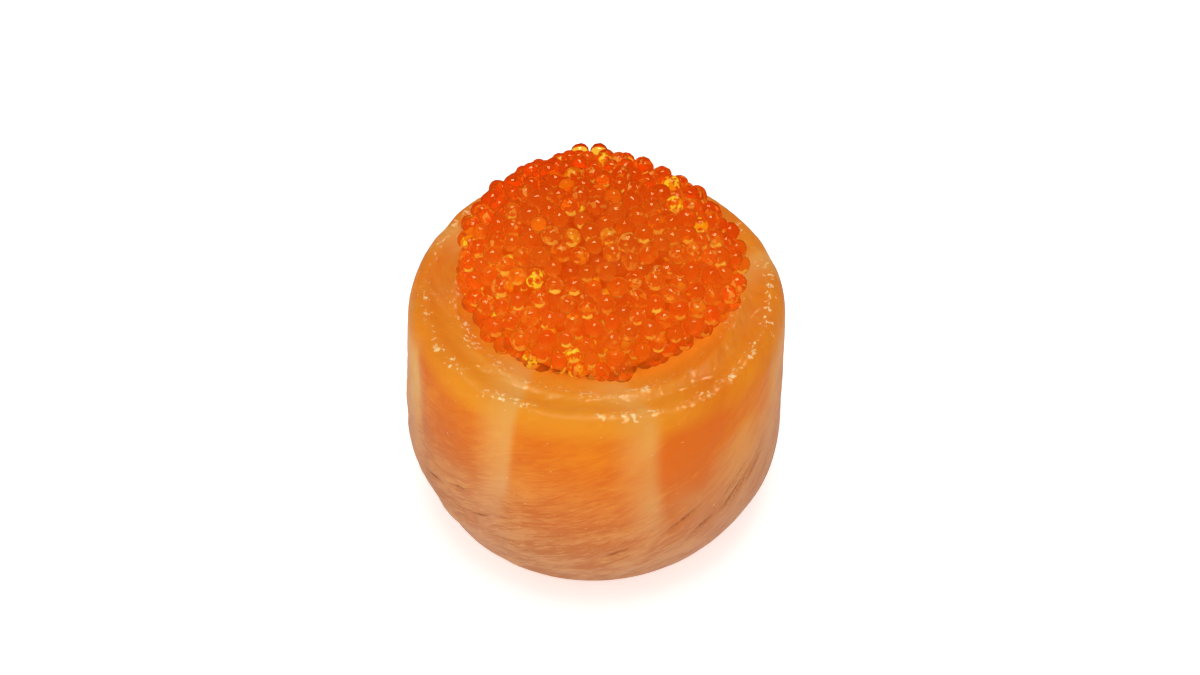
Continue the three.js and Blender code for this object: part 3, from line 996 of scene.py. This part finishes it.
@dataclass
class RoeHeap:
    """The heap of eggs in the wrap's nest. Sizes in millimetres."""

    egg_diameter: float = 2.35
    height: float = 11.0
    half_width: float = 16.8
    fullness: float = 2.2
    rim_height: float = 33.6
    side_shift: float = -0.5
    back_shift: float = 2.2
    # the lower part leans to the right, and is drawn in at an azimuth and half angle
    base_shift: float = 1.5
    base_height: float = 7.0
    drawn_in: float = 1.8
    drawn_at: tuple = (36, 48)
    # distance between neighbours in egg diameters, in the outermost layer and in those under it
    egg_spacing: float = 1.09
    inner_spacing: float = 1.02
    size_spread: float = 0.13
    squash_spread: float = 0.04
    height_spread: float = 0.34
    seed: int = 11
    settling_rounds: int = 40
    # share of an overlap that each of two eggs gives way in one round
    push_share: float = 0.35
    # eggs whose middles lie further apart along one axis can't touch
    touching_reach: float = 3.0
    # eggs that stand on the top: azimuth and rise
    top_eggs: tuple = ((176, 31), (-175, 31), (-133, 16), (-112, 10))
    top_egg_lift: float = 0.4
    clear_top_eggs: int = 2
    # eggs that fill the nest round the heap's foot: first and last azimuth, and their number
    foot_row: tuple = (-84, 84, 22)
    back_row: tuple = (92, 268, 23)
    # how deep the inner layers lie, in egg diameters
    inner_layers: tuple = (0.4, 0.75)
    mass_sunk: float = 0.6
    mass_rings: int = 8
    mass_facets: int = 64
    egg_cuts: int = 2
    eggs: list[Egg] = field(default_factory=list)

    @property
    def centre(self) -> Vector:
        """Middle of the heap on the rim's plane."""
        return Vector((self.side_shift, self.back_shift, self.rim_height))

    def point(self, azimuth: float, rise: float, sunk: float = 0.0) -> Vector:
        """Gives a point of the heap's smooth surface, or of one that lies deeper.

        Args:
            azimuth: Azimuth round the heap's middle.
            rise: 0 at the rim and 90 at the top, in degrees.
            sunk: How far the surface lies under the heap's own.

        Returns:
            The point.
        """
        a = math.radians(azimuth)
        power = 2 / self.fullness
        across = (self.half_width - sunk) * max(0.0, math.cos(math.radians(rise))) ** power
        up = (self.height - sunk) * math.sin(math.radians(rise)) ** power
        return Vector((across * math.sin(a), -across * math.cos(a), up)) + self.centre

    def normal(self, point: Vector) -> Vector:
        """Finds the way out of the heap's surface.

        Args:
            point: A point near the surface.

        Returns:
            The way out, of length 1.
        """
        p = point - self.centre
        n = self.fullness
        slope = (math.hypot(p.x, p.y) / self.half_width) ** (n - 1) / self.half_width
        up = max(0.0, p.z / self.height) ** (n - 1) / self.height
        azimuth = math.atan2(p.x, -p.y)
        return Vector((slope * math.sin(azimuth), -slope * math.cos(azimuth), up)).normalized()

    def onto(self, point: Vector, sunk: float) -> Vector:
        """Moves a point straight from the heap's middle onto its surface, and not below the rim.

        Args:
            point: The point.
            sunk: How far the surface lies under the heap's own.

        Returns:
            The moved point.
        """
        p = point - self.centre
        p.z = max(p.z, 0.0)
        n = self.fullness
        side = math.hypot(p.x, p.y) / (self.half_width - sunk)
        size = (side**n + (p.z / (self.height - sunk)) ** n) ** (1 / n)
        return p / size + self.centre

    def some_radius(self, random: SeededRandom) -> float:
        """Draws the radius of an egg."""
        return self.egg_diameter / 2 * (1 + self.size_spread * random.signed())

    def lay(self, seed: int, spacing: float, sunk: float) -> list[Egg]:
        """Lays one layer of eggs: on a spiral of equal areas, stirred, then pushed apart.

        Args:
            seed: Seed of the layer.
            spacing: Distance between neighbours in egg diameters.
            sunk: How far the layer lies under the heap's surface.

        Returns:
            The eggs.
        """
        random = SeededRandom(seed)
        # the area up to each rise, added up from bands round the heap
        rises = np.linspace(0, 90, 201)
        edge = [self.point(90, rise, sunk) - self.centre for rise in rises]
        areas = [0.0]
        for low, high in zip(edge, edge[1:]):
            areas.append(areas[-1] + math.pi * (low.x + high.x) * (low - high).length)
        each_takes = (spacing * self.egg_diameter) ** 2 * (math.sqrt(3) / 2)
        count = int(areas[-1] / each_takes + 0.5)
        golden_angle = 180 * (3 - math.sqrt(5))
        eggs = []
        for i in range(count):
            rise = np.interp(areas[-1] * (i + 0.5) / count, areas, rises)
            middle = self.point(i * golden_angle, rise, sunk)
            middle += Vector([random() - 0.5 for _ in range(3)]) * self.egg_diameter
            eggs.append(Egg(self.onto(middle, sunk), self.some_radius(random)))
        self.settle(eggs, sunk)
        for egg in eggs:
            egg.middle += self.normal(egg.middle) * (self.height_spread * random.signed())
        return eggs

    def settle(self, eggs: list[Egg], sunk: float) -> None:
        """Lets the eggs of one layer push each other apart along its surface.

        Args:
            eggs: The layer's eggs.
            sunk: How far the layer lies under the heap's surface.
        """
        places = [list(egg.middle) for egg in eggs]
        reach = self.touching_reach
        for _ in range(self.settling_rounds):
            for i, p in enumerate(places):
                for j in range(i + 1, len(places)):
                    q = places[j]
                    dx = q[0] - p[0]
                    if dx > reach or dx < -reach:
                        continue
                    dy = q[1] - p[1]
                    if dy > reach or dy < -reach:
                        continue
                    dz = q[2] - p[2]
                    apart = math.sqrt(dx * dx + dy * dy + dz * dz)
                    wanted = eggs[i].radius + eggs[j].radius
                    if apart >= wanted:
                        continue
                    push = self.push_share * (wanted - apart) / apart
                    for axis, way in enumerate((dx, dy, dz)):
                        p[axis] -= way * push
                        q[axis] += way * push
            places = [list(self.onto(Vector(p), sunk)) for p in places]
        for egg, place in zip(eggs, places):
            egg.middle = Vector(place)

    def tuck_under(self, layer: list[Egg]) -> None:
        """Pushes the eggs of a deeper layer in until they no longer crowd those above them.

        Args:
            layer: The deeper layer's eggs.
        """
        rounds, allowed = 6, 0.3
        above = [(egg.middle, egg.radius) for egg in self.eggs]
        for egg in layer:
            for _ in range(rounds):
                crowd = 0.0
                for middle, radius in above:
                    away = egg.middle - middle
                    if abs(away.x) > self.touching_reach or abs(away.y) > self.touching_reach:
                        continue
                    over = egg.radius + radius - away.length
                    if over > crowd:
                        crowd = over
                        push = away.normalized() * over * 0.5
                if crowd <= allowed:
                    break
                inward = -self.normal(egg.middle)
                egg.middle += push + inward * crowd * 0.4

    def leaning(self, points: np.ndarray) -> np.ndarray:
        """Moves the points of the heap's lower part to the right, and in at the front right.

        Args:
            points: Rows of x, y and z in millimetres.

        Returns:
            The moved points.
        """
        low = 1 - smoothstep(points[:, 2] - self.rim_height, 0.5, self.base_height)
        out = points[:, :2] - np.array(self.centre)[:2]
        azimuth = np.degrees(np.arctan2(out[:, 0], -out[:, 1]))
        middle, half_angle = self.drawn_at
        inward = self.drawn_in * bump(turn(middle, azimuth), half_angle) * low
        moved = points.copy()
        moved[:, :2] -= out * (inward / self.half_width)[:, None]
        moved[:, 0] += self.base_shift * low
        return moved

    def rest_on(self, salmon: BVHTree) -> None:
        """Raises each egg that would sink into the salmon until it lies on it, and drops what can't.

        Args:
            salmon: The finished wrap's surface.
        """
        lifts, lift = 12, 0.2
        # an egg may sink in by the rest of its radius
        resting = 0.92
        kept = []
        for egg in self.eggs:
            for _ in range(lifts):
                near = salmon.find_nearest(egg.middle * MM)
                inside = (egg.middle * MM - near[0]).dot(near[1]) < 0
                gap = -near[3] if inside else near[3]
                if gap >= egg.radius * MM * resting:
                    kept.append(egg)
                    break
                egg.middle.z += lift
        self.eggs = kept

    def heap_up(self, salmon: BVHTree) -> None:
        """Lays all layers of eggs from the outermost in, and rests them on the salmon.

        Args:
            salmon: The finished wrap's surface.
        """
        self.eggs = self.lay(self.seed, self.egg_spacing, 0.0)
        for k, (azimuth, rise) in enumerate(self.top_eggs):
            middle = self.point(azimuth, rise)
            middle += self.normal(middle) * (self.top_egg_lift * self.egg_diameter)
            self.eggs.append(Egg(middle, self.egg_diameter / 2, k < self.clear_top_eggs))
        # the rows at the foot stand a little out of line, sunk into the nest
        random = SeededRandom(self.seed + 90)
        for azimuth in (*np.linspace(*self.foot_row), *np.linspace(*self.back_row)):
            a = math.radians(azimuth + 2 * random() - 1)
            reach = self.half_width - 0.9 + 0.6 * (random() - 0.5)
            middle = self.centre + Vector((reach * math.sin(a), -reach * math.cos(a), -1.0 + 0.5 * random()))
            self.eggs.append(Egg(middle, self.some_radius(random)))
        for k, depth in enumerate(self.inner_layers):
            layer = self.lay(self.seed + 1 + k, self.inner_spacing, depth * self.egg_diameter)
            self.tuck_under(layer)
            self.eggs += layer
        moved = self.leaning(np.array([egg.middle for egg in self.eggs]))
        for egg, place in zip(self.eggs, moved):
            egg.middle = Vector(place)
        self.rest_on(salmon)

    def egg_form(self) -> tuple[np.ndarray, np.ndarray]:
        """Models one round egg of radius 1 from a cube.

        Returns:
            The egg's vertices, and its faces as rows of four vertex numbers.
        """
        deselect()
        bpy.ops.mesh.primitive_cube_add(size=2)
        form = bpy.context.object
        bpy.ops.object.mode_set(mode="EDIT")
        bpy.ops.mesh.select_all(action="SELECT")
        bpy.ops.mesh.subdivide(number_cuts=self.egg_cuts)
        bpy.ops.object.mode_set(mode="OBJECT")
        mesh = form.data
        points = np.array([v.co for v in mesh.vertices])
        points /= np.linalg.norm(points, axis=1)[:, None]
        faces = np.array([list(p.vertices) for p in mesh.polygons])
        bpy.data.objects.remove(form)
        bpy.data.meshes.remove(mesh)
        return points, faces

    def build_eggs(self, name: str, eggs: list[Egg], material: Material) -> Object:
        """Makes the eggs of one kind as one piece.

        Args:
            name: The piece's name.
            eggs: The eggs.
            material: Their material.

        Returns:
            The piece. Each vertex knows its way out of its egg, and its egg's own tint, glow and oil.
        """
        random = SeededRandom(self.seed + 50)
        points, faces = self.egg_form()
        vertices, ways, polygons, own = [], [], [], []
        for k, egg in enumerate(eggs):
            turned = np.array(Euler([random() * 3 for _ in range(3)]).to_matrix()).T
            radii = [egg.radius * (1 + self.squash_spread * random.signed()) for _ in range(3)]
            own.append([random() for _ in range(3)])
            vertices.append((points * np.array(radii)) @ turned + np.array(egg.middle))
            ways.append(points @ turned)
            polygons.append(faces + k * len(points))
        mesh = bpy.data.meshes.new(name)
        mesh.from_pydata((np.concatenate(vertices) * MM).tolist(), [], np.concatenate(polygons).tolist())
        mesh.update()
        dressed(mesh, material)
        write_attribute(mesh, "ball", np.concatenate(ways))
        write_attribute(mesh, "own", np.repeat(np.array(own), len(points), axis=0))
        piece = bpy.data.objects.new(name, mesh)
        bpy.context.collection.objects.link(piece)
        return piece

    def build_mass(self, wrap: SalmonWrap) -> Object:
        """Makes the mass of roe under the loose eggs.

        Args:
            wrap: The wrap whose nest the mass fills.

        Returns:
            The mass.
        """
        # up the nest's wall, then under the outermost eggs
        sunk = self.mass_sunk * self.egg_diameter
        floor, ridge, back = self.rim_height - wrap.nest_depth, wrap.inner_ridge, self.back_shift
        rings = [
            (wrap.nest_radius - 0.5, floor + 0.1, back),
            (ridge - 2.9, floor + wrap.nest_depth * 0.3, back * 0.6),
            (ridge - 2.5, floor + wrap.nest_depth * 0.6, back * 0.8),
        ]
        for i in range(self.mass_rings):
            p = self.point(90, 90 * i / self.mass_rings, sunk)
            rings.append((p.x - self.side_shift, p.z, back))
        mass = raised_rings("roe_mass", rings, self.side_shift, self.mass_facets)
        rounded(mass, 1)
        write_places(mass.data, self.leaning(read_places(mass.data)))
        dressed(mass.data, RoeMass().material())
        return mass

    def build(self, wrap: SalmonWrap, drum: Object) -> None:
        """Lays the eggs on the salmon, and builds them and the mass under them.

        Args:
            wrap: The wrap's sizes.
            drum: The finished wrap.
        """
        bpy.context.view_layer.update()
        self.heap_up(BVHTree.FromObject(drum, bpy.context.evaluated_depsgraph_get()))
        clear = [egg for egg in self.eggs if egg.clear]
        hazy = [egg for egg in self.eggs if not egg.clear]
        pieces = (
            self.build_mass(wrap),
            self.build_eggs("roe_eggs", hazy, TroutEgg().material()),
            self.build_eggs("roe_clear_eggs", clear, ClearEgg().material()),
        )
        for piece in pieces[1:]:
            # light passes through the eggs, so they leave what lies under them bright
            piece.visible_shadow = False
            piece.visible_diffuse = False
        for piece in pieces:
            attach(piece, BODY)
            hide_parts("roe_heap")
            LOG.info("%s: %d faces", piece.name, len(piece.data.polygons))
        LOG.info("eggs: %d", len(self.eggs))


# ---- The studio ----


@dataclass(frozen=True)
class Lamp:
    """One lamp of the studio. Metres and watts."""

    name: str
    place: tuple
    size: tuple
    power: float
    colour: str = "ffffff"
    lights: bool = True
    glints: bool = False


@dataclass
class Studio:
    """A plain pale floor, soft light, and the camera. Lengths in millimetres.

    The soft lamps stay out of reflections, so that one round lamp overhead makes all the glints that are not
    painted.
    """

    elevation: float = 48.0
    distance: float = 260.0
    lens: float = 60.6
    watched: tuple = (0.0, 0.0, 16.8)
    aimed: tuple = (0.64, 4.0, 20.4)
    floor_side: float = 3000.0
    floor_colour: str = "f8f8f8"
    floor_glow: float = 0.5
    sky: float = 0.58
    lamps: tuple = (
        Lamp("overhead_softbox", (0.0, 0.03, 0.55), (0.34, 0.34), 0.9),
        Lamp("front_softbox", (-0.3, -0.7, 0.28), (0.9, 0.5), 1.3),
        Lamp("overhead_lamp", (0.0, 0.03, 0.54), (0.3, 0.3), 6.8, "ffeabc", lights=False, glints=True),
    )

    def build_floor(self) -> None:
        """Lays the floor, lit softly from below as on a light table."""
        deselect()
        bpy.ops.mesh.primitive_plane_add(size=self.floor_side * MM)
        floor = bpy.context.object
        floor.name = "floor"
        inputs = {
            "Base Color": self.floor_colour,
            "Roughness": 0.9,
            "Emission Color": self.floor_colour,
            "Emission Strength": self.floor_glow,
        }
        floor.data.materials.append(shaded(new_material("matt_white_board"), inputs))
        # like the soft lamps, the board leaves no veil on the wet skins
        floor.visible_glossy = False

    @staticmethod
    def hang(data: ID, place: Vector, target: tuple) -> Object:
        """Hangs a lamp or the camera.

        Args:
            data: The lamp or the camera.
            place: Its place in metres.
            target: What it is turned towards, in millimetres.

        Returns:
            The object that holds it.
        """
        holder = bpy.data.objects.new(data.name, data)
        holder.location = place
        holder.rotation_euler = (Vector(target) * MM - place).to_track_quat("-Z", "Y").to_euler()
        bpy.context.scene.collection.objects.link(holder)
        return holder

    def add_lamp(self, lamp: Lamp) -> None:
        """Hangs one lamp, turned towards the piece.

        Args:
            lamp: The lamp.
        """
        light = bpy.data.lights.new(lamp.name, "AREA")
        light.shape = "ELLIPSE"
        light.size, light.size_y = lamp.size
        light.energy = lamp.power
        light.color = linear(lamp.colour)[:3]
        holder = self.hang(light, Vector(lamp.place), self.watched)
        holder.visible_glossy = lamp.glints
        holder.visible_diffuse = lamp.lights
        # light through the eggs is already counted, as they leave no shadow
        holder.visible_transmission = False

    def build_lights(self) -> None:
        """Sets the white surroundings and the lamps."""
        scene = bpy.context.scene
        world = bpy.data.worlds.new("white_room")
        world.use_nodes = True
        background = world.node_tree.nodes["Background"]
        background.inputs[0].default_value = (1, 1, 1, 1)
        background.inputs[1].default_value = self.sky
        scene.world = world
        world.cycles_visibility.glossy = False
        for lamp in self.lamps:
            self.add_lamp(lamp)
        scene.view_settings.view_transform = "Standard"

    def build_camera(self) -> None:
        """Places the camera above and in front of the piece."""
        camera = bpy.data.cameras.new("camera")
        camera.lens = self.lens
        camera.sensor_width = 36.0
        camera.clip_start = 0.01
        e = math.radians(self.elevation)
        away = Vector((0, -math.cos(e), math.sin(e))) * self.distance
        place = (Vector(self.watched) + away) * MM
        bpy.context.scene.camera = self.hang(camera, place, self.aimed)

    def build(self) -> None:
        """Builds the camera, the lights and the floor."""
        self.build_camera()
        self.build_lights()
        self.build_floor()
        LOG.info("studio ready")


def main() -> None:
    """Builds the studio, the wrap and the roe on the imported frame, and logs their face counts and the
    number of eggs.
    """
    logging.basicConfig(level=logging.INFO)
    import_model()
    Studio().build()
    wrap = SalmonWrap()
    drum = wrap.build()
    RoeHeap().build(wrap, drum)


if __name__ == "__main__":
    main()
